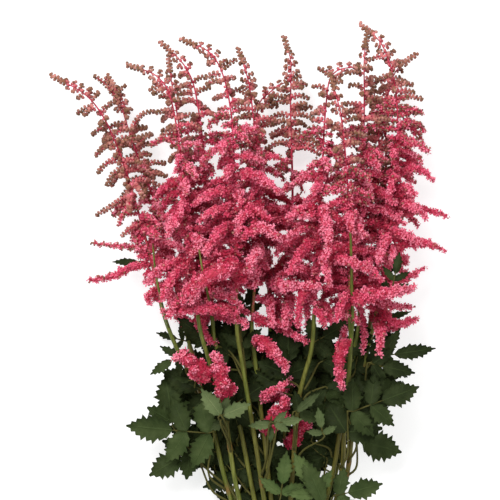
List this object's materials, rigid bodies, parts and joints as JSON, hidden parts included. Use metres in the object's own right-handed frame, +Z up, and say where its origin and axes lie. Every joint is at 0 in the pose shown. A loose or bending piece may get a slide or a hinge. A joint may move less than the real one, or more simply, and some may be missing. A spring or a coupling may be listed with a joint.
{
  "type": "cut astilbe bunch",
  "caption": "Tied florist's bunch of cut astilbe lying on a surface, with feathery plumes, toothed compound leaves and bare stem ends.",
  "frame": {"origin": "centre of the bunch's box in plan, on the surface that it lies on", "axes": "+Y along the stems from the cut ends to the plume tips, +X across the bunch, +Z up from the surface"},
  "size_m": [0.398, 0.671, 0.1283],
  "materials": {
    "flower": "matt thin petals",
    "stem": "satin green skin",
    "leaf": "satin leaf",
    "band": "natural elastic"
  },
  "bodies": {
    "root": {"band": "band", "stem_01": "stem", "stem_02": "stem", "stem_03": "stem", "stem_04": "stem", "stem_05": "stem", "stem_06": "stem", "stem_07": "stem", "stem_08": "stem", "stem_09": "stem", "stem_10": "stem", "stem_11": "stem", "stem_12": "stem", "stem_13": "stem", "stem_14": "stem", "stem_15": "stem", "plume_01": "flower", "plume_02": "flower", "plume_03": "flower", "plume_04": "flower", "plume_05": "flower", "plume_06": "flower", "plume_07": "flower", "plume_08": "flower", "plume_09": "flower", "plume_10": "flower", "plume_11": "flower", "plume_12": "flower", "plume_13": "flower", "plume_14": "flower", "plume_15": "flower", "side_spray_1": "flower", "side_spray_2": "flower", "side_spray_3": "flower", "side_spray_4": "flower", "side_spray_5": "flower", "side_spray_6": "flower", "side_spray_7": "flower", "leaf_upper_left": "leaf", "leaf_left_lance": "leaf", "leaf_left_olive": "leaf", "leaf_left_short": "leaf", "leaf_big_left": "leaf", "leaf_back_left": "leaf", "leaf_pale_left": "leaf", "leaf_pale_middle": "leaf", "leaf_middle_right": "leaf", "leaf_big_right": "leaf", "leaf_inner_right": "leaf", "leaf_right_lance": "leaf", "leaf_right_ovate": "leaf", "leaf_low_right": "leaf", "leaf_low_middle": "leaf", "leaf_low_bright": "leaf", "leaf_upper_right": "leaf", "leaf_right_slim": "leaf", "leaf_centre_small": "leaf", "leaf_back_middle": "leaf", "leaf_back_right": "leaf"}
  },
  "joints": []
}
